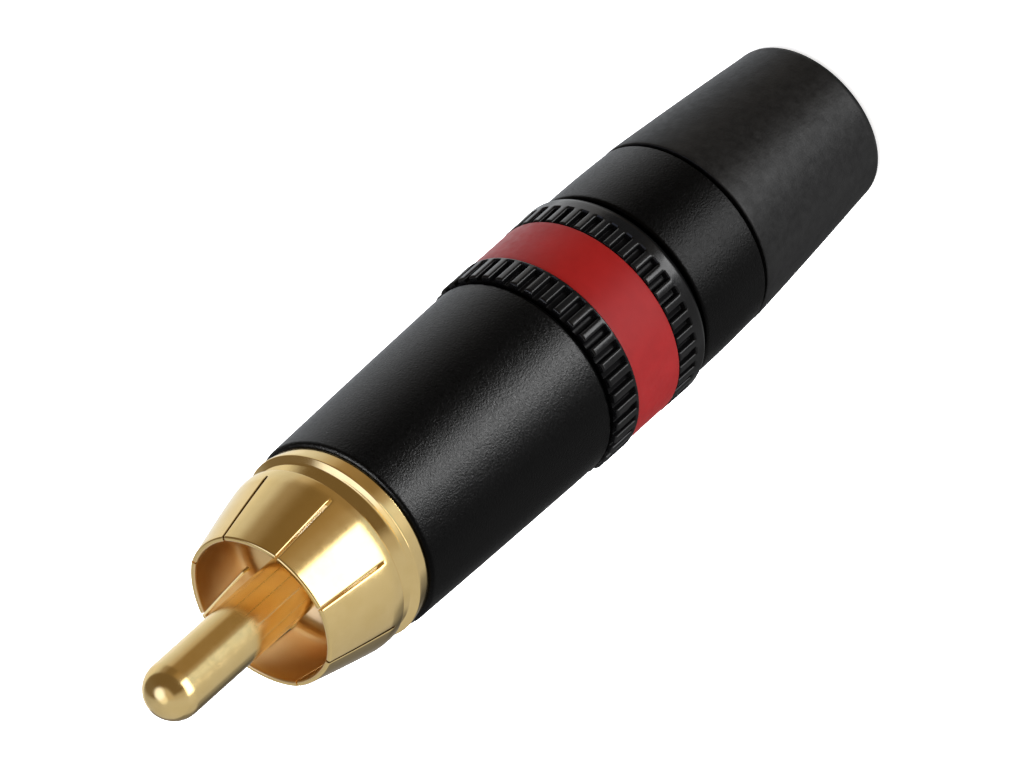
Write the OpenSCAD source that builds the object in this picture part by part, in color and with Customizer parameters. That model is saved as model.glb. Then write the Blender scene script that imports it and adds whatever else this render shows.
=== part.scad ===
// Phono (RCA) cable plug, standing on the end of its boot with the pin up.
// Every length is in millimetres. Z = 0 is the end face of the boot and the
// Z axis is the common axis of all the turned and moulded pieces.

/* [Contacts] */
// Diameter of the signal pin
pin_d = 3.2; // [3.0:0.02:3.3]
// How far the pin reaches past the rim of the ground petals
pin_reach = 8.6; // [7:0.1:10]
// Inner radius of the petal rim
rim_ri = 4.12; // [4.0:0.02:4.25]
// Sheet thickness of the petals at the rim
petal_t = 0.33; // [0.25:0.01:0.45]
// Number of petals
petals = 8; // [4:2:8]
// Width of the slits between the petals
slit_w = 0.15; // [0.1:0.05:0.6]
// Direction of the first slit, degrees from +X
slit_turn = 19.75; // [0:0.25:44]

/* [Shells] */
// Length of the front shell
shell_len = 14.78; // [13:0.01:17]
// Outer radius of the front shell at its front edge
shell_rf = 5.565; // [5.5:0.005:5.7]
// Outer radius of the front shell at its rear edge
shell_rr = 5.78; // [5.7:0.01:5.85]
// Length of the rear sleeve
rear_len = 5.09; // [4.8:0.01:6]

/* [Knurled bands and ring] */
// Outer radius of the front knurled band
front_r = 6.0; // [5.9:0.01:6.1]
// Outer radius of the rear knurled band
back_r = 5.97; // [5.9:0.01:6.1]
// Number of knurl teeth
teeth = 40; // [24:1:44]
// Width of the gap between two teeth
tooth_gap = 0.44; // [0.3:0.02:0.5]
// Depth of the gap between two teeth
tooth_deep = 0.34; // [0.2:0.02:0.4]
// Width of the colour ring
ring_len = 3.5; // [3:0.02:4.5]
// Outer radius of the colour ring
ring_r = 5.92; // [5.8:0.01:5.95]

/* [Boot] */
// Length of the boot
boot_len = 11.26; // [10.5:0.01:14]
// Radius of the hole for the cable
cable_r = 3.2; // [2.6:0.05:3.25]

/* [Hidden] */
$fn = 96;

// radii that the pieces share
foot_r = 4.72;       // boot just above its rounded end
boot_r = 5.63;       // boot at the sleeve
thread_r = 4.35;     // crest of the male thread, drawn as a plain cylinder
thread_gap = 0.05;   // running clearance in the thread
barrel_ri = 3.45;    // bore that guides the chuck
chuck_r = 3.37;
chuck_ri = 2.95;
nut_ro = 5.20;       // nut inside the rear sleeve
core_ro = 5.10;      // contact body inside the front shell
slip = 0.02;         // gap between pieces that are pressed together
key_w = 1.0;         // keys that stop the chuck turning
pin_r = pin_d / 2;

// stations along the axis, from the boot's end to the pin's tip
z_sleeve = boot_len;
z_groove = z_sleeve + rear_len;      // end of the rear sleeve
z_collar = z_groove + 0.23;          // smooth collar of the nut
z_tooth = z_collar + 0.93;           // first tooth of the rear band
z_nut = z_tooth + 1.38;              // front face of the nut
z_ring = z_nut + 0.04;
z_band = z_ring + ring_len;          // front knurled band
z_step = z_band + 1.75;              // front face of that band
z_shell = z_step + 0.08;             // rear edge of the front shell
z_flange = z_shell + shell_len;      // gold flange against the shell
z_petal = z_flange + 2.04;           // root of the petals, over the neck
z_hinge = z_flange + 2.75;           // from here on the petals are thin
z_cone = z_flange + 3.07;            // widest turn of the petal cone
z_rim = z_flange + 6.89;
z_tip = z_rim + pin_reach;
z_dome = z_tip - pin_r;
z_face = z_flange + 0.85;            // front face of the insulator
z_ledge = z_face + 0.05;             // floor of the ground sleeve's cup
z_tube = z_flange - 5.25;            // rear end of the ground sleeve's tube
z_barrel = z_nut - 5.55;             // rear end of the male thread
z_cup = z_tube - 6;                  // rear end of the pin's solder cup

// points along an arc in the r-z plane, from angle a0 to a1 about (r, z)
function arc(r, z, rad, a0, a1, n = 8) =
    [for (i = [0:n]) let (a = a0 + (a1 - a0) * i / n) [r + rad * cos(a), z + rad * sin(a)]];
// points along a line that bulges outwards by h in its middle
function bow(p, q, h, n = 10) =
    [for (i = [0:n]) let (s = i / n) [p[0] + (q[0] - p[0]) * s + 4 * h * s * (1 - s), p[1] + (q[1] - p[1]) * s]];

module turn(points) { rotate_extrude() polygon(points); }

// the gaps of a knurl between two heights, cut down to radius r - tooth_deep
module knurl_gaps(r, z0, z1) {
    for (i = [0:teeth - 1])
        rotate(269.2 + i * 360 / teeth)
            translate([r - tooth_deep, -tooth_gap / 2, z0])
                cube([1, tooth_gap, z1 - z0]);
}

module center_pin() {
    color("goldenrod") difference() {
        union() {
            translate([0, 0, z_dome]) sphere(pin_r);
            translate([0, 0, z_face]) cylinder(r = pin_r, h = z_dome - z_face);
            // shank in the insulator, groove for the retainer, solder cup
            turn([[0, z_cup], [1.15, z_cup], [1.28, z_cup + 0.15], [1.28, z_tube + 0.9], [1.0, z_tube + 0.9],
                  [1.0, z_tube + 1.5], [1.3, z_tube + 1.5], [1.3, z_face], [0, z_face]]);
        }
        translate([0, 0, z_cup - 1]) cylinder(r = 0.85, h = 5.2);
        // the open side of the cup
        translate([0.25, -2, z_cup - 1]) cube([4, 4, 4.2]);
    }
}

module pin_insulator() {
    color("ivory") turn([
        [1.3 + slip, z_tube + 1.5], [3.7, z_tube + 1.5], [3.9, z_tube + 1.7], [3.9, z_flange + 0.08],
        [2.78, z_flange + 0.08], [2.78, z_face - 0.1], [2.68, z_face], [1.3 + slip, z_face]]);
}

module pin_retainer() {
    color("silver") difference() {
        turn([[1.0 + slip, z_tube + 0.92], [2.15, z_tube + 0.92], [2.25, z_tube + 1.02], [2.25, z_tube + 1.4],
              [2.15, z_tube + 1.5], [1.0 + slip, z_tube + 1.5]]);
        // the split that lets it spring over the groove
        translate([0, -0.75, z_tube]) cube([4, 1.5, 3]);
    }
}

module ground_sleeve() {
    rim_ro = rim_ri + petal_t;
    color("gold") difference() {
        turn(concat(
            // inside: the tube, the ledge that holds the insulator, the funnel and the petals
            [[3.92, z_tube], [3.92, z_flange + 0.1], [2.8, z_flange + 0.1], [2.8, z_ledge], [2.98, z_ledge]],
            [[4.34, z_face + 1.18], [4.5, z_face + 1.35], [4.615, z_face + 1.52], [4.69, z_face + 1.68],
             [4.745, z_face + 1.92], [4.758, z_face + 2.1]],
            [[rim_ri + 0.02, z_rim - 0.12], [rim_ri + 0.06, z_rim]],
            // rim, the cone of the petals and their round root
            arc(rim_ro - 0.14, z_rim - 0.14, 0.14, 90, 12, 5),
            [for (s = [0.1:0.1:1]) [rim_ro + (5.27 - rim_ro) * s + 0.08 * s * (1 - s), z_rim - 0.14 - (z_rim - 0.14 - z_cone) * s]],
            [[5.315, z_cone - 0.25], [5.345, z_cone - 0.55]],
            arc(5.25, z_petal + 0.1, 0.1, 0, -80, 5),
            // hollow neck
            arc(4.87, z_flange + 1.87, 0.11, 98, 208, 6),
            // flange with a sloped front edge
            [[5.1, z_flange + 1.146], [5.44, z_flange + 0.941]],
            arc(5.412, z_flange + 0.9, 0.052, 54, -8, 4),
            [[5.345, z_flange + 0.08], [5.312, z_flange + 0.01], [5.28, z_flange]],
            [[4.6, z_flange], [4.6, z_tube + 0.2], [4.4, z_tube]]));
        for (i = [0:petals - 1])
            rotate(slit_turn + i * 360 / petals)
                translate([3.5, -slit_w / 2, z_hinge - 0.1]) cube([4, slit_w, z_rim]);
    }
}

module ground_tag() {
    color("silver") difference() {
        union() {
            turn([[2.6, z_tube - 0.4], [4.2, z_tube - 0.4], [4.2, z_tube], [2.6, z_tube]]);
            translate([-4.0, -1.2, z_tube - 8]) cube([0.4, 2.4, 7.8]);
        }
        // wire hole in the tongue
        translate([-5, 0, z_tube - 6.6]) rotate([0, 90, 0]) cylinder(r = 0.6, h = 3);
    }
}

module front_shell() {
    color("black") turn(concat(
        [[core_ro + slip, z_shell]],
        // round rear edge, the long barrel and a round front edge
        arc(shell_rr - 0.48, z_shell + 0.48, 0.48, -90, 0, 8),
        bow([shell_rr, z_shell + 1.2], [shell_rf, z_flange - 0.4], 0.015, 10),
        arc(shell_rf - 0.25, z_flange - 0.25, 0.25, 0, 90, 6),
        [[4.6 + slip, z_flange], [4.6 + slip, z_flange - 1.3], [core_ro + slip, z_flange - 1.3]]));
}

module contact_body() {
    color("dimgray") difference() {
        turn(concat(
            // bore for the chuck, then the room for the solder work
            [[barrel_ri, z_barrel], [barrel_ri, z_band + 0.4], [4.3, z_band + 1.2], [4.3, z_tube], [4.6 + slip, z_tube],
             [4.6 + slip, z_flange - 1.3]],
            // outside, from the front end back to the thread
            [[core_ro, z_flange - 1.3], [core_ro, z_step]],
            [[front_r - 0.12, z_step]],
            arc(front_r - 0.12, z_step - 0.12, 0.12, 90, 0, 4),
            [[front_r, z_band + 0.06], [front_r - 0.06, z_band], [4.85, z_band], [4.85, z_ring + 0.35],
             [thread_r, z_nut - 0.15], [thread_r, z_barrel + 0.35], [thread_r - 0.35, z_barrel]]));
        knurl_gaps(front_r, z_band + 0.1, z_step + 1);
        // key ways for the chuck
        for (a = [0, 180])
            rotate(a) translate([barrel_ri - 0.3, -key_w / 2 - 0.05, z_barrel - 1]) cube([0.3 + 0.37, key_w + 0.1, 7.9]);
    }
}

module colour_ring() {
    color("firebrick") turn(concat(
        [[4.87, z_ring]],
        arc(ring_r - 0.08, z_ring + 0.08, 0.08, -90, 0, 4),
        arc(ring_r - 0.08, z_band - 0.08, 0.08, 0, 90, 4),
        [[4.87, z_band]]));
}

module chuck() {
    color("whitesmoke") difference() {
        union() {
            turn(concat(
                [[chuck_ri, z_barrel - 1.55]],
                // cone that the nut presses inwards, and its shoulder
                [[3.28, z_barrel - 1.55], [4.02, z_barrel - 0.66], [4.02, z_barrel - 0.12], [chuck_r, z_barrel - 0.12],
                 [chuck_r, z_nut + 1.0], [chuck_r - 0.15, z_nut + 1.15], [chuck_ri, z_nut + 1.15]]));
            for (a = [0, 180])
                rotate(a) translate([chuck_ri + 0.1, -key_w / 2, z_barrel + 1.2]) cube([0.70, key_w, 5.0]);
        }
        // slits between the fingers
        for (a = [45, 135])
            rotate(a) translate([-6, -0.3, z_barrel - 3]) cube([12, 0.6, 7]);
    }
}

module back_nut() {
    color("dimgray") difference() {
        turn(concat(
            // tail for the boot, cone for the chuck, bore of the thread
            [[cable_r, z_sleeve - 3.4], [cable_r, z_barrel - 1.72], [thread_r + thread_gap, z_barrel - 0.28],
             [thread_r + thread_gap, z_nut - 0.3], [thread_r + 0.35, z_nut]],
            arc(back_r - 0.1, z_nut - 0.1, 0.1, 90, 0, 4),
            arc(back_r - 0.45, z_collar + 0.45, 0.45, 0, -90, 7),
            [[5.30, z_collar], [5.30, z_groove], [nut_ro, z_groove], [nut_ro, z_sleeve],
             [4.3, z_sleeve], [4.3, z_sleeve - 1.9], [4.6, z_sleeve - 2.1], [4.6, z_sleeve - 2.5], [4.2, z_sleeve - 3.4]]));
        knurl_gaps(back_r, z_tooth, z_nut + 1);
    }
}

module rear_sleeve() {
    color("black") turn(concat(
        [[nut_ro + slip, z_sleeve]],
        arc(5.63 - 0.1, z_sleeve + 0.1, 0.1, -90, 0, 4),
        bow([5.64, z_sleeve + 0.4], [5.755, z_groove - 0.35], 0.03, 8),
        arc(5.755 - 0.18, z_groove - 0.18, 0.18, 0, 90, 5),
        [[nut_ro + slip, z_groove]]));
}

module boot() {
    color([0.13, 0.13, 0.13]) turn(concat(
        // hole for the cable with a round mouth, and the pocket for the nut's tail
        arc(cable_r + 0.4, 0.4, 0.4, 270, 180, 6),
        [[cable_r, z_sleeve - 3.45], [4.22, z_sleeve - 3.45], [4.62, z_sleeve - 2.55], [4.62, z_sleeve - 2.08],
         [4.32, z_sleeve - 1.86], [4.32, z_sleeve], [5.0, z_sleeve], [5.0, z_sleeve - 0.22]],
        // outside, from the gap at the sleeve down to the rounded end
        arc(boot_r - 0.08, z_sleeve - 0.30, 0.08, 90, 0, 4),
        bow([boot_r, z_sleeve - 0.45], [foot_r, 0.62], 0.03, 10),
        arc(foot_r - 0.6, 0.6, 0.6, -4, -90, 8)));
}

center_pin();
pin_insulator();
pin_retainer();
ground_sleeve();
ground_tag();
front_shell();
contact_body();
colour_ring();
chuck();
back_nut();
rear_sleeve();
boot();
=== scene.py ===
import math

import bmesh
import bpy
from mathutils import Matrix, Vector


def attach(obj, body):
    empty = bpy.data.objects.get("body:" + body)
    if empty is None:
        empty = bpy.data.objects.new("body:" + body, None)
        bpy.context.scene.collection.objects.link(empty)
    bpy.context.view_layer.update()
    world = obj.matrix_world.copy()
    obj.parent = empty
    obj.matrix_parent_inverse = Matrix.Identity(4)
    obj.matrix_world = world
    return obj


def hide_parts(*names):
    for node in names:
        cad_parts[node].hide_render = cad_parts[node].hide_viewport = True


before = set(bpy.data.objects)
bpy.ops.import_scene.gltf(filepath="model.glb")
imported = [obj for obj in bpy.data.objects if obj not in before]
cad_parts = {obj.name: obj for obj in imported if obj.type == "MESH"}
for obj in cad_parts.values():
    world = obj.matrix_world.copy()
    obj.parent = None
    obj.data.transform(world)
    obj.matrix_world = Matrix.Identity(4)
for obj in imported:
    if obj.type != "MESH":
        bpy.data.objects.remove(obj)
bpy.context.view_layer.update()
scene = bpy.context.scene
MM = 0.001

# ---------------------------------------------------------------- stations
# Heights along the axis in millimetres, the same as in the CAD source.
Z_SLEEVE = 11.26
Z_GROOVE = Z_SLEEVE + 5.09
Z_COLLAR = Z_GROOVE + 0.23
Z_TOOTH = Z_COLLAR + 0.93
Z_NUT = Z_TOOTH + 1.38
Z_RING = Z_NUT + 0.04
Z_BAND = Z_RING + 3.5
Z_STEP = Z_BAND + 1.75
Z_SHELL = Z_STEP + 0.08
Z_FLANGE = Z_SHELL + 14.78
Z_PETAL = Z_FLANGE + 2.04
Z_HINGE = Z_FLANGE + 2.75
Z_CONE = Z_FLANGE + 3.07
Z_RIM = Z_FLANGE + 6.89
Z_TIP = Z_RIM + 8.6
Z_DOME = Z_TIP - 1.6
Z_FACE = Z_FLANGE + 0.85
Z_LEDGE = Z_FACE + 0.05
Z_TUBE = Z_FLANGE - 5.25
Z_BARREL = Z_NUT - 5.55
Z_CUP = Z_TUBE - 6.0
PITCH = 0.75


# ---------------------------------------------------------------- mesh helpers
def arc(r, z, rad, a0, a1, n=8):
    return [(r + rad * math.cos(math.radians(a0 + (a1 - a0) * i / n)),
             z + rad * math.sin(math.radians(a0 + (a1 - a0) * i / n))) for i in range(n + 1)]


def line(p, q, n, bow=0.0):
    return [(p[0] + (q[0] - p[0]) * i / n + 4 * bow * (i / n) * (1 - i / n),
             p[1] + (q[1] - p[1]) * i / n) for i in range(n + 1)]


def even(n):
    return [360.0 * i / n for i in range(n)]


def add_object(name, bm, sharp=38):
    """Close, orient and smooth a bmesh, and make it an object of the scene."""
    bmesh.ops.remove_doubles(bm, verts=bm.verts, dist=2e-7)
    bmesh.ops.dissolve_degenerate(bm, dist=1e-8, edges=bm.edges)
    bmesh.ops.recalc_face_normals(bm, faces=bm.faces)
    mesh = bpy.data.meshes.new(name)
    bm.to_mesh(mesh)
    bm.free()
    mesh.polygons.foreach_set("use_smooth", [True] * len(mesh.polygons))
    mesh.set_sharp_from_angle(angle=math.radians(sharp))
    obj = bpy.data.objects.new(name, mesh)
    scene.collection.objects.link(obj)
    return obj


def turned(bm, profile, thetas, shape=None):
    """Turn a closed r-z outline about the axis. shape(r, z, theta, j) may change a point's radius."""
    n, m = len(thetas), len(profile)
    rows = []
    for t in thetas:
        c, s = math.cos(math.radians(t)), math.sin(math.radians(t))
        row = []
        for j, (r, z) in enumerate(profile):
            rr = shape(r, z, t, j) if shape else r
            row.append(bm.verts.new((rr * c * MM, rr * s * MM, z * MM)))
        rows.append(row)
    for i in range(n):
        a, b = rows[i], rows[(i + 1) % n]
        for j in range(m):
            k = (j + 1) % m
            if profile[j][0] < 1e-9 and profile[k][0] < 1e-9:
                continue
            bm.faces.new((a[j], b[j], b[k], a[k]))


# ---------------------------------------------------------------- materials
def new_material(name):
    m = bpy.data.materials.new(name)
    m.use_nodes = True
    nt = m.node_tree
    nt.nodes.clear()
    out = nt.nodes.new("ShaderNodeOutputMaterial")
    bsdf = nt.nodes.new("ShaderNodeBsdfPrincipled")
    nt.links.new(bsdf.outputs["BSDF"], out.inputs["Surface"])
    coord = nt.nodes.new("ShaderNodeTexCoord")
    return m, nt, bsdf, coord


def noise(nt, coord, scale, detail=4.0, rough=0.55, stretch=None, distortion=0.0):
    """Noise in object space. scale is in features per metre."""
    src = coord.outputs["Object"]
    if stretch:
        mp = nt.nodes.new("ShaderNodeMapping")
        mp.inputs["Scale"].default_value = stretch
        nt.links.new(src, mp.inputs["Vector"])
        src = mp.outputs["Vector"]
    n = nt.nodes.new("ShaderNodeTexNoise")
    n.inputs["Scale"].default_value = scale
    n.inputs["Detail"].default_value = detail
    n.inputs["Roughness"].default_value = rough
    n.inputs["Distortion"].default_value = distortion
    nt.links.new(src, n.inputs["Vector"])
    return n.outputs["Fac"]


def remap(nt, fac, lo, hi, from_lo=0.3, from_hi=0.7):
    r = nt.nodes.new("ShaderNodeMapRange")
    r.inputs["From Min"].default_value = from_lo
    r.inputs["From Max"].default_value = from_hi
    r.inputs["To Min"].default_value = lo
    r.inputs["To Max"].default_value = hi
    nt.links.new(fac, r.inputs["Value"])
    return r.outputs["Result"]


def two_colours(nt, fac, a, b, lo=0.3, hi=0.7):
    r = nt.nodes.new("ShaderNodeValToRGB")
    r.color_ramp.elements[0].position = lo
    r.color_ramp.elements[0].color = (*a, 1)
    r.color_ramp.elements[1].position = hi
    r.color_ramp.elements[1].color = (*b, 1)
    nt.links.new(fac, r.inputs["Fac"])
    return r.outputs["Color"]


def bump(nt, bsdf, height, depth, before=None):
    """depth is the height in metres that a full swing of the texture stands for."""
    b = nt.nodes.new("ShaderNodeBump")
    b.inputs["Strength"].default_value = 1.0
    b.inputs["Distance"].default_value = depth
    nt.links.new(height, b.inputs["Height"])
    if before is not None:
        nt.links.new(before, b.inputs["Normal"])
    nt.links.new(b.outputs["Normal"], bsdf.inputs["Normal"])
    return b.outputs["Normal"]


def turning_marks(nt, coord, pitch):
    """Fine rings round the axis, as a lathe leaves them."""
    w = nt.nodes.new("ShaderNodeTexWave")
    w.wave_type = "BANDS"
    w.bands_direction = "Z"
    w.wave_profile = "SIN"
    w.inputs["Scale"].default_value = 0.3142 / pitch
    w.inputs["Distortion"].default_value = 1.5
    w.inputs["Detail"].default_value = 2.0
    w.inputs["Detail Scale"].default_value = 1.0
    nt.links.new(coord.outputs["Object"], w.inputs["Vector"])
    return w.outputs["Fac"]


def painted_shade_behind(nt, coord, level):
    """Painted shade: a reflection level that fades on the edges that look back towards the boot, so that they stay dark
    as if shaded.
    """
    split = nt.nodes.new("ShaderNodeSeparateXYZ")
    nt.links.new(coord.outputs["Normal"], split.inputs["Vector"])
    return remap(nt, split.outputs["Z"], level * 0.12, level, -0.46, -0.18)


def painted_shade_below(nt, coord, level, r_lo, r_hi, least=0.2):
    """Painted shade deep in the knurl's gaps: a share that fades with depth, from 1 at radius r_hi to least at r_lo,
    multiplied onto a level.
    """
    flat = nt.nodes.new("ShaderNodeVectorMath")
    flat.operation = "MULTIPLY"
    flat.inputs[1].default_value = (1.0, 1.0, 0.0)
    nt.links.new(coord.outputs["Object"], flat.inputs[0])
    length = nt.nodes.new("ShaderNodeVectorMath")
    length.operation = "LENGTH"
    nt.links.new(flat.outputs["Vector"], length.inputs[0])
    share = remap(nt, length.outputs["Value"], least, 1.0, r_lo * MM, r_hi * MM)
    product = nt.nodes.new("ShaderNodeMath")
    product.operation = "MULTIPLY"
    nt.links.new(level, product.inputs[0])
    nt.links.new(share, product.inputs[1])
    return product.outputs[0]


def painted_bounce_faces(nt, coord):
    """1 on faces that look towards the axis, 0 on the others."""
    dot = nt.nodes.new("ShaderNodeVectorMath")
    dot.operation = "DOT_PRODUCT"
    flat = nt.nodes.new("ShaderNodeVectorMath")
    flat.operation = "MULTIPLY"
    flat.inputs[1].default_value = (1.0, 1.0, 0.0)
    nt.links.new(coord.outputs["Object"], flat.inputs[0])
    nt.links.new(flat.outputs["Vector"], dot.inputs[0])
    nt.links.new(coord.outputs["Normal"], dot.inputs[1])
    return remap(nt, dot.outputs["Value"], 1.0, 0.0, -0.8 * MM, -0.2 * MM)


def gold(name, rough_lo, rough_hi, marks, dents, inside=None):
    """inside is the colour and the roughness of the faces that look towards the axis: a rougher finish, and a warmer
    tint that is painted bounce light from the gold walls of the cup.
    """
    m, nt, b, co = new_material(name)
    b.inputs["Metallic"].default_value = 1.0
    tone = two_colours(nt, noise(nt, co, 700, 3), (0.90, 0.665, 0.285), (0.95, 0.715, 0.33))
    rough = remap(nt, noise(nt, co, 2600, 5, 0.65), rough_lo, rough_hi)
    if inside:
        # painted reflection: the warmer tint inside the cup stands in for light bounced between the gold walls
        painted_bounce_mask = painted_bounce_faces(nt, co)
        for kind, src, value in (("RGBA", tone, (*inside[0], 1.0)), ("FLOAT", rough, inside[1])):
            mx = nt.nodes.new("ShaderNodeMix")
            mx.data_type = kind
            a, b_in, res = (6, 7, 2) if kind == "RGBA" else (2, 3, 0)
            nt.links.new(painted_bounce_mask, mx.inputs["Factor"])
            nt.links.new(src, mx.inputs[a])
            mx.inputs[b_in].default_value = value
            if kind == "RGBA":
                tone = mx.outputs[res]
            else:
                rough = mx.outputs[res]
    nt.links.new(tone, b.inputs["Base Color"])
    nt.links.new(rough, b.inputs["Roughness"])
    n1 = bump(nt, b, turning_marks(nt, co, 0.05 * MM), marks)
    bump(nt, b, noise(nt, co, 1500, 2, 0.5), dents, n1)
    return m


def lacquer(name):
    """Satin black lacquer: a fine hard grain that sparkles in the light."""
    m, nt, b, co = new_material(name)
    tone = noise(nt, co, 9000, 3, 0.6)
    nt.links.new(two_colours(nt, tone, (0.0001, 0.0001, 0.0001), (0.0004, 0.0004, 0.0004)), b.inputs["Base Color"])
    nt.links.new(remap(nt, noise(nt, co, 5200, 4, 0.6), 0.26, 0.37), b.inputs["Roughness"])
    # painted shade: the reflection fades on the edges that look back towards the boot
    nt.links.new(painted_shade_behind(nt, co, 0.06), b.inputs["Specular IOR Level"])
    n1 = bump(nt, b, noise(nt, co, 9000, 2, 0.6), 0.023 * MM)
    bump(nt, b, noise(nt, co, 20000, 2, 0.6), 0.0075 * MM, n1)
    return m


def moulding(name, dark, light, rough_lo, rough_hi, grain, depth, spec=0.5, knurled=False):
    m, nt, b, co = new_material(name)
    nt.links.new(two_colours(nt, noise(nt, co, 900, 4), dark, light), b.inputs["Base Color"])
    nt.links.new(remap(nt, noise(nt, co, 2400, 4, 0.6), rough_lo, rough_hi), b.inputs["Roughness"])
    b.inputs["Specular IOR Level"].default_value = spec
    if knurled:
        # painted shade: the reflection darkens on the rear-facing edges and towards the floors of the knurl's gaps
        nt.links.new(painted_shade_below(nt, co, painted_shade_behind(nt, co, spec), 5.80, 5.93), b.inputs["Specular IOR Level"])
    n1 = bump(nt, b, noise(nt, co, grain, 3, 0.55), depth)
    bump(nt, b, noise(nt, co, 480, 2, 0.5), depth * 3.0, n1)
    return m


def soft_rubber(name):
    m, nt, b, co = new_material(name)
    fine = noise(nt, co, 2600, 5, 0.62)
    nt.links.new(two_colours(nt, fine, (0.0022, 0.0022, 0.0024), (0.0050, 0.0050, 0.0053)), b.inputs["Base Color"])
    nt.links.new(remap(nt, noise(nt, co, 3800, 4, 0.6), 0.40, 0.53), b.inputs["Roughness"])
    nt.links.new(remap(nt, noise(nt, co, 1900, 5, 0.68), 0.22, 0.39), b.inputs["Specular IOR Level"])
    n1 = bump(nt, b, noise(nt, co, 6200, 4, 0.62), 0.0110 * MM)
    bump(nt, b, noise(nt, co, 1500, 3, 0.55), 0.014 * MM, n1)
    return m


MAT = {
    "gold_pin": gold("gold_pin", 0.11, 0.21, 0.00022 * MM, 0.0016 * MM),
    # the faces inside the sleeve's cup take a painted bounce-light tint
    "gold_sleeve": gold("gold_sleeve", 0.09, 0.18, 0.00016 * MM, 0.0022 * MM, ((0.94, 0.66, 0.32), 0.29)),
    "black_lacquer": lacquer("black_lacquer"),
    "black_moulding": moulding("black_moulding", (0.0022, 0.0022, 0.0024), (0.0044, 0.0044, 0.0047), 0.17, 0.28, 3800, 0.0012 * MM, 0.20, True),
    "red_moulding": moulding("red_moulding", (0.39, 0.0085, 0.0105), (0.45, 0.0115, 0.0135), 0.36, 0.48, 5200, 0.0034 * MM, 0.36),
    "boot_rubber": soft_rubber("boot_rubber"),
    "insulator": moulding("insulator", (0.74, 0.71, 0.63), (0.82, 0.79, 0.71), 0.40, 0.55, 4200, 0.0020 * MM),
    "chuck_moulding": moulding("chuck_moulding", (0.55, 0.54, 0.51), (0.64, 0.63, 0.60), 0.38, 0.52, 4200, 0.0020 * MM),
}


def tinned(name, colour_a, colour_b, rough_lo, rough_hi):
    m, nt, b, co = new_material(name)
    b.inputs["Metallic"].default_value = 1.0
    nt.links.new(two_colours(nt, noise(nt, co, 1800, 4), colour_a, colour_b), b.inputs["Base Color"])
    nt.links.new(remap(nt, noise(nt, co, 3500, 4, 0.6), rough_lo, rough_hi), b.inputs["Roughness"])
    bump(nt, b, noise(nt, co, 2600, 3, 0.55), 0.0016 * MM)
    return m


MAT["tinned_brass"] = tinned("tinned_brass", (0.56, 0.55, 0.52), (0.68, 0.67, 0.64), 0.30, 0.46)
MAT["spring_steel"] = tinned("spring_steel", (0.50, 0.50, 0.51), (0.62, 0.62, 0.63), 0.22, 0.34)


def finish_piece(obj, slot, body, *nodes):
    obj.data.materials.clear()
    obj.data.materials.append(MAT[slot])
    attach(obj, body)
    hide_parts(*nodes)
    return obj


# ---------------------------------------------------------------- center pin
def make_pin():
    """A turned pin: solder cup with an open side, groove for the retainer, shank, round tip."""
    notch = Z_CUP + 3.2
    prof = [(0, Z_CUP + 4.2), (0.80, Z_CUP + 4.2), (0.85, Z_CUP + 4.1), (0.85, notch)]
    lo = len(prof) - 1
    prof += [(0.85, Z_CUP + 0.04), (0.89, Z_CUP), (1.12, Z_CUP), (1.22, Z_CUP + 0.04), (1.28, Z_CUP + 0.16), (1.28, notch)]
    hi = len(prof) - 1
    prof += [(1.28, Z_TUBE + 0.88), (1.26, Z_TUBE + 0.9), (1.0, Z_TUBE + 0.9), (1.0, Z_TUBE + 1.5), (1.3, Z_TUBE + 1.5), (1.3, Z_FACE),
             (1.55, Z_FACE), (1.587, Z_FACE + 0.016), (1.6, Z_FACE + 0.06)]
    prof += line((1.6, Z_FACE + 0.4), (1.6, Z_DOME - 0.08), 30)
    prof += arc(0, Z_DOME, 1.6, 0, 90, 32)
    prof[-1] = (0, Z_TIP)
    n, m = 160, len(prof)
    bm = bmesh.new()
    rows = []
    for i in range(n):
        a = 2 * math.pi * i / n
        rows.append([bm.verts.new((r * math.cos(a) * MM, r * math.sin(a) * MM, z * MM)) for r, z in prof])
    half = 34                                      # columns on each side of +X that the cup leaves open
    for i in range(n):
        a, b = rows[i], rows[(i + 1) % n]
        opened = i < half or i >= n - half
        for j in range(m):
            k = (j + 1) % m
            if prof[j][0] < 1e-9 and prof[k][0] < 1e-9 or opened and lo <= j < hi:
                continue
            bm.faces.new((a[j], b[j], b[k], a[k]))
        if opened:
            bm.faces.new((a[lo], b[lo], b[hi], a[hi]))
    for i in (half, n - half):
        bm.faces.new(rows[i][lo:hi + 1])
    return add_object("signal_pin", bm, 35)


# ---------------------------------------------------------------- ground sleeve
SLIT0, PETALS, HALF_SLIT = 19.75, 8, 0.88
RIM_RI, RIM_RO = 4.12, 4.45
Z_CUT = Z_HINGE - 0.1
# how far each petal is sprung in or out at its rim
SPRUNG = [0.010, -0.012, 0.016, -0.006, 0.012, -0.014, 0.004, -0.010]


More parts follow.
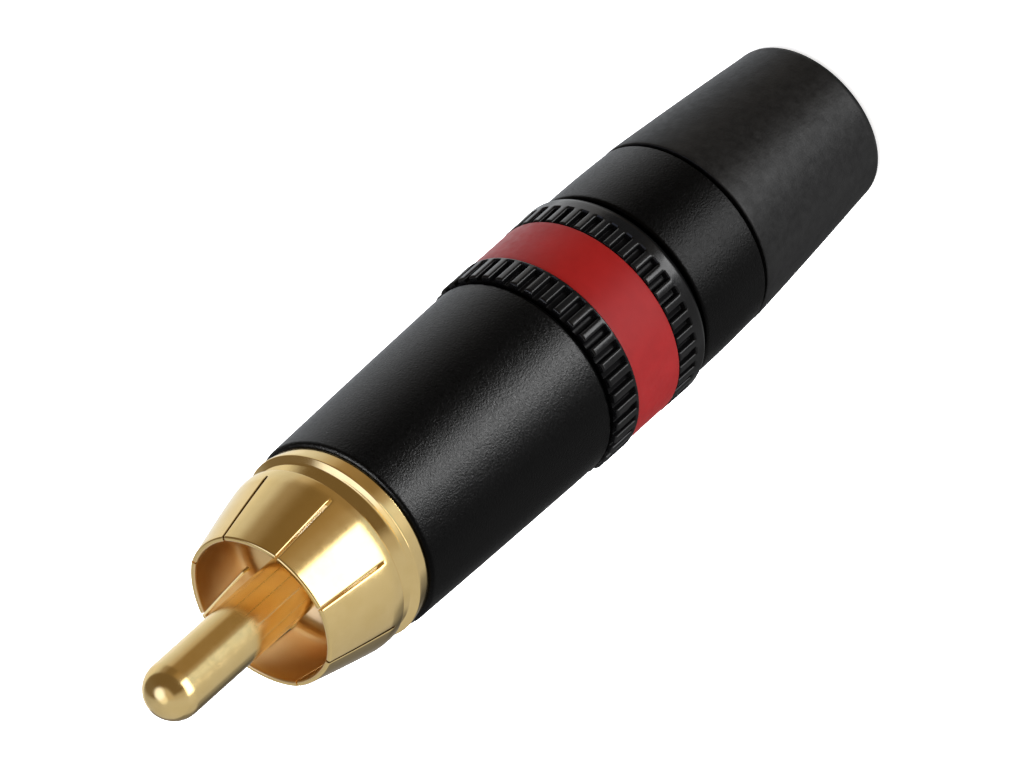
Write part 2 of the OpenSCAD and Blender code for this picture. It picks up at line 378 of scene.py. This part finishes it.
def make_sleeve():
    inner_low = [(3.92, Z_TUBE + 0.08), (3.92, Z_FLANGE + 0.06), (3.88, Z_FLANGE + 0.1), (2.8, Z_FLANGE + 0.1), (2.8, Z_LEDGE - 0.04), (2.84, Z_LEDGE),
                 (2.98, Z_LEDGE + 0.02)]
    # a funnel that runs smoothly into the wall of the petals
    inner_low += line((3.10, Z_LEDGE + 0.12), (4.34, Z_FACE + 1.18), 8)
    inner_low += [(4.425, Z_FACE + 1.26), (4.50, Z_FACE + 1.35), (4.562, Z_FACE + 1.43), (4.615, Z_FACE + 1.52), (4.656, Z_FACE + 1.60), (4.687, Z_FACE + 1.68)]
    inner_up = [(4.722, Z_CUT), (4.745, Z_FACE + 1.92), (4.757, Z_FACE + 2.04), (4.758, Z_FACE + 2.20)]
    for i in range(1, 15):
        s = i / 15.0
        inner_up.append((4.758 + (RIM_RI + 0.015 - 4.758) * s + 0.10 * s * (1 - s), Z_FACE + 2.20 + (5.92 - 2.20) * s))
    inner_up += [(RIM_RI + 0.02, Z_RIM - 0.10), (RIM_RI + 0.035, Z_RIM - 0.04), (RIM_RI + 0.075, Z_RIM - 0.008), (RIM_RI + 0.12, Z_RIM)]
    outer_up = arc(RIM_RO - 0.13, Z_RIM - 0.13, 0.13, 90, 12, 6)
    for i in range(1, 21):
        s = i / 20.0
        outer_up.append((RIM_RO + (5.27 - RIM_RO) * s + 0.08 * s * (1 - s), Z_RIM - 0.14 - (Z_RIM - 0.14 - Z_CONE) * s))
    outer_up += [(5.298, Z_CONE - 0.13), (5.316, Z_CONE - 0.25), (5.332, Z_CUT)]
    outer_low = [(5.344, Z_CONE - 0.55), (5.35, Z_PETAL + 0.31), (5.351, Z_PETAL + 0.18)]
    outer_low += arc(5.25, Z_PETAL + 0.1, 0.1, 0, -80, 7)
    # a groove under the petals, then the flange: a chamfer, a sharp edge and a band that narrows to the shell
    outer_low += [(r, Z_FLANGE + z) for r, z in arc(4.87, 1.87, 0.11, 98, 208, 9)]
    outer_low += [(r, Z_FLANGE + z) for r, z in ((4.85, 1.66), (4.928, 1.50), (5.01, 1.33), (5.062, 1.224), (5.10, 1.146),
                                                 (5.17, 1.104), (5.24, 1.062), (5.31, 1.020), (5.38, 0.978), (5.44, 0.941))]
    outer_low += [(r, Z_FLANGE + z) for r, z in arc(5.412, 0.900, 0.052, 54, -8, 7)]
    outer_low += line((5.464, Z_FLANGE + 0.85), (5.345, Z_FLANGE + 0.08), 8)
    outer_low += [(5.332, Z_FLANGE + 0.035), (5.312, Z_FLANGE + 0.010), (5.28, Z_FLANGE), (4.6, Z_FLANGE), (4.6, Z_TUBE + 0.2), (4.4, Z_TUBE), (3.99, Z_TUBE)]
    prof = inner_low + inner_up + outer_up + outer_low
    lo, hi = len(inner_low), len(inner_low) + len(inner_up) + len(outer_up)  # points of the petals are lo..hi-1
    n_in = len(inner_up)

    # stations round the axis: petals with close columns at their edges, and one cell for each slit
    edge = [0.0, 0.28, 0.65, 1.2, 2.0]
    span = 45.0 - 2 * HALF_SLIT
    inside = edge + [2.0 + (span - 4.0) * i / 30 for i in range(1, 30)] + [span - e for e in reversed(edge)]
    thetas, slit_cells = [], set()
    for p in range(PETALS):
        a0 = SLIT0 + 45.0 * p + HALF_SLIT
        thetas += [a0 + d for d in inside]
        slit_cells.add(len(thetas) - 1)

    def shape(r, z, t, j):
        d = (t - SLIT0) % 45.0
        d = min(d, 45.0 - d) - HALF_SLIT          # degrees from the nearest slit edge
        up = min(1.0, max(0.0, (z - Z_CUT) / (Z_RIM - Z_CUT)))
        petal = int(((t - SLIT0) % 360.0) // 45.0) % PETALS
        if not lo <= j < hi or z <= Z_CUT + 1e-6:
            return r
        mid = (span / 2 - d) / (span / 2)          # 0 in the middle of a petal, 1 at its edge
        r += 0.050 * up * mid ** 2 - 0.012 * up + SPRUNG[petal] * up
        round_off = 0.026 * max(0.0, 1 - d / 0.65) ** 2
        return r - round_off if j >= lo + n_in else r + round_off * 0.6

    bm = bmesh.new()
    n, m = len(thetas), len(prof)
    rows = []
    for t in thetas:
        c, s = math.cos(math.radians(t)), math.sin(math.radians(t))
        rows.append([bm.verts.new((shape(r, z, t, j) * c * MM, shape(r, z, t, j) * s * MM, z * MM)) for j, (r, z) in enumerate(prof)])
    for i in range(n):
        a, b = rows[i], rows[(i + 1) % n]
        for j in range(m):
            k = (j + 1) % m
            if i in slit_cells and lo <= j < hi - 1:
                continue
            bm.faces.new((a[j], b[j], b[k], a[k]))
        if i in slit_cells:
            # floor of the slit, and the two cut faces of its petals
            bm.faces.new((a[lo], b[lo], b[hi - 1], a[hi - 1]))
            for row in (a, b):
                left, right = list(range(lo, lo + n_in)), list(range(hi - 1, lo + n_in - 1, -1))
                x, y = 0, 0
                while x < len(left) - 1 or y < len(right) - 1:
                    zl = row[left[x + 1]].co.z if x < len(left) - 1 else 1e9
                    zr = row[right[y + 1]].co.z if y < len(right) - 1 else 1e9
                    if zl <= zr:
                        bm.faces.new((row[left[x]], row[left[x + 1]], row[right[y]]))
                        x += 1
                    else:
                        bm.faces.new((row[left[x]], row[right[y + 1]], row[right[y]]))
                        y += 1
    return add_object("ground_contact", bm, 40)


# ---------------------------------------------------------------- knurl
TEETH, TOOTH0 = 40, 269.2
STEP_DEG = 360.0 / TEETH
# (degrees from the middle of a gap, share of the gap's depth)
GAP = [(0.0, 1.0), (1.40, 1.0), (1.58, 0.97), (1.74, 0.90), (1.86, 0.78), (1.95, 0.62), (2.03, 0.45), (2.11, 0.32), (2.20, 0.255), (2.30, 0.20),
       (2.42, 0.155), (2.59, 0.108), (2.78, 0.068), (3.07, 0.035), (3.5, 0.012), (3.9, 0.004), (4.5, 0.0)]


def knurl_thetas():
    out = []
    for k in range(TEETH):
        c = TOOTH0 + STEP_DEG * k
        out += [c - d for d, _ in reversed(GAP[1:-1])] + [c + d for d, _ in GAP]
    return out


def gap_depth(t):
    d = (t - TOOTH0) % STEP_DEG
    d = min(d, STEP_DEG - d)
    for (d0, s0), (d1, s1) in zip(GAP, GAP[1:]):
        if d <= d1 + 1e-9:
            return s0 + (s1 - s0) * max(0.0, d - d0) / (d1 - d0)
    return 0.0


def key_ways(t):
    d = t % 180.0
    return min(d, 180.0 - d) < 8.75


def make_body():
    bm = bmesh.new()
    front_r, deep = 6.0, 0.34
    z_core = Z_RING + 0.33
    prof = [(3.45, z_core), (3.45, Z_BAND + 0.4), (4.3, Z_BAND + 1.2), (4.3, Z_TUBE), (4.62, Z_TUBE), (4.62, Z_FLANGE - 1.3),
            (5.10, Z_FLANGE - 1.3), (5.10, Z_STEP), (5.40, Z_STEP), (5.65, Z_STEP)]
    prof += [(5.78, Z_STEP)] + arc(front_r - 0.15, Z_STEP - 0.15, 0.15, 90, 0, 7)
    prof += line((front_r, Z_STEP - 0.3), (front_r, Z_BAND + 0.28), 7)
    prof += [(front_r, Z_BAND + d) for d in (0.22, 0.18, 0.15, 0.12, 0.09)]
    prof += arc(front_r - 0.06, Z_BAND + 0.06, 0.06, 0, -90, 4) + [(5.66, Z_BAND), (4.85, Z_BAND), (4.85, z_core + 0.03), (4.82, z_core)]

    def shape(r, z, t, j):
        if r > 5.64 and Z_BAND + 0.08 <= z <= Z_STEP + 0.01:
            h = min(1.0, max(0.0, (z - Z_BAND - 0.09) / 0.13))
            h = h * h * (3 - 2 * h)
            return min(r, front_r - deep * gap_depth(t) * h)
        return r
    turned(bm, prof, knurl_thetas(), shape)

    # the threaded barrel behind the ring
    crest, root = 4.35, 3.97
    z0, z1 = Z_BARREL, Z_NUT - 0.15
    rows = 11 * 8
    outer = [(crest, z1 - (z1 - z0) * i / rows) for i in range(rows + 1)]
    prof2 = [(3.45, z0 + 0.02), (3.45, z_core)] + [(4.80, z_core), (4.55, z_core - 0.28)] + outer + [(3.95, z0), (3.5, z0)]
    thetas = sorted(set(even(96)) | {a + d for a in (0, 180) for d in (8.7, 8.8)} | {(a - d) % 360 for a in (0, 180) for d in (8.7, 8.8)})

    def thread(r, z, t, j):
        if j < 2:
            return 3.82 if key_ways(t) else r
        if 4 <= j < 4 + len(outer):
            u = (z / PITCH - t / 360.0) % 1.0           # a right-hand helix about +Z
            v = abs(u - 0.5) * 2                          # 1 on the crest, 0 in the root
            h = min(1.0, max(0.0, (v - 0.18) / 0.62))
            run_in = min(1.0, max(0.0, (z - z0) / 0.45))  # the thread starts on a chamfer
            run_out = min(1.0, max(0.0, (z1 - z) / 0.3))
            top = root + (crest - root) * run_in
            rr = root - 0.02 + (top - root) * h
            return rr * run_out + (1 - run_out) * 4.3
        return r
    turned(bm, prof2, thetas, thread)
    return add_object("moulded_body", bm, 40)


def make_nut():
    bm = bmesh.new()
    back_r, deep, bore = 5.97, 0.34, 4.40
    prof = [(3.2, Z_SLEEVE - 3.38), (3.2, Z_BARREL - 1.72), (bore, Z_BARREL - 0.28), (bore, Z_NUT - 0.3), (4.66, Z_NUT - 0.04), (4.72, Z_NUT), (5.62, Z_NUT)]
    prof += [(5.74, Z_NUT)] + arc(back_r - 0.12, Z_NUT - 0.12, 0.12, 90, 0, 6)
    prof += line((back_r, Z_NUT - 0.25), (back_r, Z_TOOTH + 0.22), 5)
    prof += [(back_r, Z_TOOTH + d) for d in (0.16, 0.12, 0.08, 0.05, 0.02, -0.02, -0.06)]
    prof += [(back_r, Z_TOOTH - 0.2), (back_r, Z_COLLAR + 0.6)]
    prof += arc(back_r - 0.45, Z_COLLAR + 0.45, 0.45, 0, -90, 14)
    prof += [(5.30, Z_COLLAR), (5.30, Z_GROOVE), (5.2, Z_GROOVE), (5.2, Z_SLEEVE), (4.3, Z_SLEEVE), (4.3, Z_SLEEVE - 1.9),
             (4.58, Z_SLEEVE - 2.1), (4.6, Z_SLEEVE - 2.3), (4.58, Z_SLEEVE - 2.5), (4.2, Z_SLEEVE - 3.4), (3.25, Z_SLEEVE - 3.4)]

    def shape(r, z, t, j):
        if r > 5.60 and z > Z_TOOTH - 0.07:
            h = min(1.0, max(0.0, (z - Z_TOOTH + 0.02) / 0.16))
            h = h * h * (3 - 2 * h)
            return min(r, back_r - deep * gap_depth(t) * h)
        return r
    turned(bm, prof, knurl_thetas(), shape)
    return add_object("knurled_nut", bm, 40)


def make_shell():
    bm = bmesh.new()
    prof = [(5.12, Z_SHELL), (5.22, Z_SHELL)] + arc(5.78 - 0.48, Z_SHELL + 0.48, 0.48, -88, 0, 16)
    prof += line((5.785, Z_SHELL + 1.2), (5.568, Z_FLANGE - 0.45), 28, 0.015)
    prof += arc(5.565 - 0.25, Z_FLANGE - 0.25, 0.25, 0, 88, 10)
    prof += [(5.24, Z_FLANGE), (4.62, Z_FLANGE), (4.62, Z_FLANGE - 1.3), (5.12, Z_FLANGE - 1.3)]
    turned(bm, prof, even(192))
    return add_object("shell_sleeve", bm, 40)


def make_ring():
    bm = bmesh.new()
    prof = [(4.87, Z_RING)] + arc(5.92 - 0.09, Z_RING + 0.09, 0.09, -90, 0, 6)
    prof += line((5.92, Z_RING + 0.3), (5.92, Z_BAND - 0.3), 8)
    prof += arc(5.92 - 0.09, Z_BAND - 0.09, 0.09, 0, 90, 6) + [(4.87, Z_BAND)]
    turned(bm, prof, even(192))
    return add_object("coding_ring", bm, 40)


def make_rear():
    bm = bmesh.new()
    prof = [(5.22, Z_SLEEVE)] + arc(5.63 - 0.11, Z_SLEEVE + 0.11, 0.11, -90, 0, 6)
    prof += line((5.64, Z_SLEEVE + 0.4), (5.752, Z_GROOVE - 0.4), 14, 0.03)
    prof += arc(5.755 - 0.19, Z_GROOVE - 0.19, 0.19, 0, 88, 8) + [(5.22, Z_GROOVE)]
    turned(bm, prof, even(192))
    return add_object("rear_shell", bm, 40)


def make_boot():
    bm = bmesh.new()
    prof = arc(3.6, 0.4, 0.4, 270, 180, 8)
    prof += [(3.2, Z_SLEEVE - 3.45), (4.22, Z_SLEEVE - 3.45), (4.62, Z_SLEEVE - 2.55), (4.62, Z_SLEEVE - 2.08), (4.32, Z_SLEEVE - 1.86), (4.32, Z_SLEEVE),
             (4.96, Z_SLEEVE), (5.0, Z_SLEEVE - 0.03), (5.0, Z_SLEEVE - 0.19), (5.03, Z_SLEEVE - 0.22)]
    prof += arc(5.63 - 0.09, Z_SLEEVE - 0.31, 0.09, 90, 0, 6)
    prof += line((5.628, Z_SLEEVE - 0.5), (4.725, 0.72), 22, 0.03)
    prof += arc(4.72 - 0.6, 0.6, 0.6, -3, -90, 14)
    turned(bm, prof, even(192))
    return add_object("cable_boot", bm, 45)


PIECES = {
    "center_pin": finish_piece(make_pin(), "gold_pin", "front", "center_pin"),
    "ground_sleeve": finish_piece(make_sleeve(), "gold_sleeve", "front", "ground_sleeve"),
    "contact_body": finish_piece(make_body(), "black_moulding", "front", "contact_body"),
    "front_shell": finish_piece(make_shell(), "black_lacquer", "front", "front_shell"),
    "colour_ring": finish_piece(make_ring(), "red_moulding", "front", "colour_ring"),
    "back_nut": finish_piece(make_nut(), "black_moulding", "back", "back_nut"),
    "rear_sleeve": finish_piece(make_rear(), "black_lacquer", "back", "rear_sleeve"),
    "boot": finish_piece(make_boot(), "boot_rubber", "back", "boot"),
}

# CAD nodes whose shape is right keep it and take a finished material
for node, slot in (("pin_insulator", "insulator"), ("pin_retainer", "spring_steel"),
                   ("ground_tag", "tinned_brass"), ("chuck", "chuck_moulding")):
    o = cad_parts[node]
    o.data.materials.clear()
    o.data.materials.append(MAT[slot])

# ---------------------------------------------------------------- stage
def stage_disc(name, radius, z, n=96):
    bm = bmesh.new()
    bmesh.ops.create_circle(bm, cap_ends=True, segments=n, radius=radius, matrix=Matrix.Translation((0, 0, z)))
    mesh = bpy.data.meshes.new(name)
    bm.to_mesh(mesh)
    bm.free()
    o = bpy.data.objects.new(name, mesh)
    scene.collection.objects.link(o)
    return o


floor = stage_disc("floor", 4.0, 0.0)
m, nt, b, co = new_material("pale_floor")
b.inputs["Base Color"].default_value = (0.86, 0.86, 0.86, 1)
b.inputs["Roughness"].default_value = 0.9
b.inputs["Specular IOR Level"].default_value = 0.1
b.inputs["Emission Color"].default_value = (1, 1, 1, 1)
b.inputs["Emission Strength"].default_value = 0.75
floor.data.materials.append(m)
for flag in ("visible_diffuse", "visible_glossy", "visible_transmission", "visible_shadow"):
    setattr(floor, flag, False)

bm = bmesh.new()
bmesh.ops.create_uvsphere(bm, u_segments=64, v_segments=32, radius=3.9)
mesh = bpy.data.meshes.new("backdrop")
bm.to_mesh(mesh)
bm.free()
dome = bpy.data.objects.new("backdrop", mesh)
scene.collection.objects.link(dome)
m = bpy.data.materials.new("pale_backdrop")
m.use_nodes = True
nt = m.node_tree
nt.nodes.clear()
e = nt.nodes.new("ShaderNodeEmission")
e.inputs["Color"].default_value = (0.93, 0.93, 0.93, 1)
out = nt.nodes.new("ShaderNodeOutputMaterial")
nt.links.new(e.outputs["Emission"], out.inputs["Surface"])
dome.data.materials.append(m)
for flag in ("visible_diffuse", "visible_glossy", "visible_transmission", "visible_shadow", "visible_volume_scatter"):
    setattr(dome, flag, False)

# studio surroundings: a dark room with soft light banks round the object
world = bpy.data.worlds.new("studio")
scene.world = world
world.use_nodes = True
nt = world.node_tree
nt.nodes.clear()
tc = nt.nodes.new("ShaderNodeTexCoord")
sep = nt.nodes.new("ShaderNodeSeparateXYZ")
nt.links.new(tc.outputs["Generated"], sep.inputs["Vector"])


def math_node(op, a, b=None):
    n = nt.nodes.new("ShaderNodeMath")
    n.operation = op
    for i, v in enumerate((a, b)):
        if v is None:
            continue
        if isinstance(v, (int, float)):
            n.inputs[i].default_value = v
        else:
            nt.links.new(v, n.inputs[i])
    return n.outputs[0]


neg_x = math_node("MULTIPLY", sep.outputs["X"], -1.0)
neg_y = math_node("MULTIPLY", sep.outputs["Y"], -1.0)
azimuth = math_node("ARCTAN2", neg_x, neg_y)            # 0 towards -Y, + towards -X
turn = math_node("ADD", math_node("DIVIDE", azimuth, 2 * math.pi), 0.5)


def grey(v, warm=0.0):
    """A brightness of the room as a colour; warm turns it towards brown."""
    return tuple(v * (1 + warm * k) / TOP for k in (0.30, -0.10, -0.56)) + (1.0,)


def bank(stops):
    """The room by direction round the axis: degrees from -Y towards -X, brightness, warmth."""
    ramp = nt.nodes.new("ShaderNodeValToRGB")
    ramp.color_ramp.interpolation = "EASE"
    els = ramp.color_ramp.elements
    for i, (az, *v) in enumerate(stops):
        p = (az + 180) / 360
        el = els[i] if i < 2 else els.new(p)
        el.position = p
        el.color = grey(*v)
    nt.links.new(turn, ramp.inputs["Fac"])
    return ramp.outputs["Color"]


def rise(value, lo, hi):
    r = nt.nodes.new("ShaderNodeMapRange")
    r.interpolation_type = "SMOOTHSTEP"
    r.inputs["From Min"].default_value = lo
    r.inputs["From Max"].default_value = hi
    nt.links.new(value, r.inputs["Value"])
    return r.outputs["Result"]


def blend(fac, a, b):
    """Mix of two colours; a number stands for that grey, three numbers for that colour."""
    mx = nt.nodes.new("ShaderNodeMix")
    mx.data_type = "RGBA"
    nt.links.new(fac, mx.inputs["Factor"])
    for sock, v in ((mx.inputs[6], a), (mx.inputs[7], b)):
        if isinstance(v, tuple):
            sock.default_value = tuple(k / TOP for k in v) + (1.0,)
        elif isinstance(v, (int, float)):
            sock.default_value = grey(v)
        else:
            nt.links.new(v, sock)
    return mx.outputs[2]


TOP = 4.0
# below the horizon, near it, and above it
LOW = [(-180, 0.95, -0.1), (-136, 0.95, -0.1), (-116, 0.76, -0.1), (-96, 0.62), (-80, 0.50, 0.3), (-62, 0.22, 0.9), (-22, 0.22, 0.9), (-8, 0.32, 0.5), (5, 0.66, -0.2),
       (20, 0.66, -0.2), (42, 0.58), (98, 0.52), (116, 0.24), (138, 0.10), (176, 0.30)]
HIGH = [(-180, 0.80), (-116, 0.82), (-98, 0.64), (-80, 0.28, 0.5), (-60, 0.15, 1.0), (-44, 0.16, 1.0), (-26, 0.26, 0.9), (-12, 0.33, 0.6), (-4, 0.42, 0.3), (2, 3.4),
        (46, 3.4), (54, 0.62), (116, 0.50), (134, 0.20), (176, 0.25)]
CEIL = [(-180, 0.50), (-160, 0.45), (-140, 0.16, 0.6), (-76, 0.13, 0.9), (16, 0.13, 0.9), (36, 0.45, 0.2), (60, 0.56), (120, 0.56), (176, 0.50)]
GROUND = [(-180, 0.60), (-104, 0.62), (-88, 0.48, 0.3), (-68, 0.27, 0.8), (-20, 0.20, 0.9), (-4, 0.36, 0.5), (14, 0.84, -0.1), (30, 0.80), (60, 0.58), (84, 0.52), (176, 0.46)]
UPPER = [(-180, 0.50), (-160, 0.45), (-140, 0.16, 0.6), (-80, 0.16, 0.8), (-56, 0.50, 0.3), (30, 0.50, 0.3), (44, 0.50, 0.2), (60, 0.56), (120, 0.56), (176, 0.50)]
height = sep.outputs["Z"]
light = blend(rise(height, -0.53, -0.40), bank(LOW), bank(HIGH))
light = blend(rise(height, -0.70, -0.78), light, bank(GROUND))
light = blend(rise(height, -0.86, -0.93), light, 0.05)
light = blend(rise(height, -0.06, 0.08), light, bank(CEIL))
light = blend(rise(height, 0.70, 0.84), light, bank(UPPER))
light = blend(rise(height, 0.93, 0.985), light, 1.0)
el0, az0 = math.radians(70), math.radians(-87)
box_dir = (-math.sin(az0) * math.cos(el0), -math.cos(az0) * math.cos(el0), math.sin(el0))
near = nt.nodes.new("ShaderNodeVectorMath")
near.operation = "DOT_PRODUCT"
nt.links.new(tc.outputs["Generated"], near.inputs[0])
near.inputs[1].default_value = box_dir
light = blend(rise(near.outputs["Value"], math.cos(math.radians(26)), math.cos(math.radians(10))), light, (1.35, 1.48, 2.0))
bg = nt.nodes.new("ShaderNodeBackground")
nt.links.new(light, bg.inputs["Color"])
bg.inputs["Strength"].default_value = TOP
wo = nt.nodes.new("ShaderNodeOutputWorld")
nt.links.new(bg.outputs["Background"], wo.inputs["Surface"])


def soft_light(name, az, el, dist, size, power, target=(0, 0, 0.025)):
    a, e2 = math.radians(az), math.radians(el)
    d = Vector((-math.sin(a) * math.cos(e2), -math.cos(a) * math.cos(e2), math.sin(e2)))
    data = bpy.data.lights.new(name, "AREA")
    data.shape = "DISK"
    data.size = size
    data.energy = power
    o = bpy.data.objects.new(name, data)
    scene.collection.objects.link(o)
    o.location = Vector(target) + d * dist
    o.rotation_mode = "QUATERNION"
    o.rotation_quaternion = d.to_track_quat("Z", "Y")
    o.visible_camera = False
    o.visible_glossy = False        # reflections show the room, the lamps only lift the matt colours
    return o


def sheen_light(name, az, el, dist, wide, high, power, pieces):
    """A soft box that only the dark pieces mirror."""
    o = soft_light(name, az, el, dist, wide, power)
    o.data.shape = "RECTANGLE"
    o.data.size_y = high
    o.visible_glossy = True
    lit = bpy.data.collections.new(name + "_lit")
    for piece in pieces:
        lit.objects.link(piece)
    o.light_linking.receiver_collection = lit
    return o


soft_light("key", 30, 48, 0.60, 0.40, 0.45)
soft_light("top", 180, 78, 0.70, 0.70, 10.0)
soft_light("fill", -95, 40, 0.70, 0.50, 0.75)
sheen_light("sheen", 14, -36, 0.60, 0.19, 0.30, 9.6, [PIECES["front_shell"]])
sheen_light("sheen_knurl", 14, -36, 0.60, 0.17, 0.30, 1.75, [PIECES["contact_body"], PIECES["back_nut"]])
sheen_light("sheen_rear", 21, -38, 0.60, 0.34, 0.30, 4.4, [PIECES["rear_sleeve"]])
sheen_light("sheen_left", -103, -36, 0.60, 0.56, 0.35, 0.85, [PIECES[k] for k in ("front_shell", "rear_sleeve", "contact_body", "back_nut")])
sheen_light("sheen_boot", 14, -38, 0.60, 0.17, 0.30, 1.05, [PIECES["boot"]])
# a faint cold light, so that the black pieces stay neutral where the room is brown
cold = sheen_light("sheen_cold", -42, -36, 0.60, 0.45, 0.35, 0.085, [PIECES[k] for k in ("front_shell", "rear_sleeve", "contact_body", "back_nut", "boot")])
cold.data.color = (0.0, 0.46, 1.0)
sheen_light("sheen_edge", -87, 70, 0.60, 0.30, 0.30, 15.0, [PIECES["front_shell"]])

# ---------------------------------------------------------------- camera
ELEV = math.radians(35.78)
DIST = 0.949
target = Vector((0.00010, 0, 0.02506))
back = Vector((0, -math.cos(ELEV), math.sin(ELEV)))
r0 = Vector((1, 0, 0))
u0 = Vector((0, math.sin(ELEV), math.cos(ELEV)))
L = math.hypot(0.745, 0.667)
ca, sa = 0.745 / L, 0.667 / L
right = -sa * r0 - ca * u0
up = ca * r0 - sa * u0
cam_data = bpy.data.cameras.new("camera")
cam = bpy.data.objects.new("camera", cam_data)
scene.collection.objects.link(cam)
rot = Matrix((right, up, back)).transposed()
cam.matrix_world = Matrix.Translation(target + back * DIST) @ rot.to_4x4()
cam_data.sensor_width = 36.0
cam_data.lens = 36.0 * DIST / (1024.0 / 19.8 * MM)
cam_data.clip_start = 0.05
cam_data.clip_end = 20.0
scene.camera = cam

scene.view_settings.view_transform = "Standard"
scene.view_settings.look = "None"
scene.view_settings.exposure = 0.0
scene.view_settings.gamma = 1.0
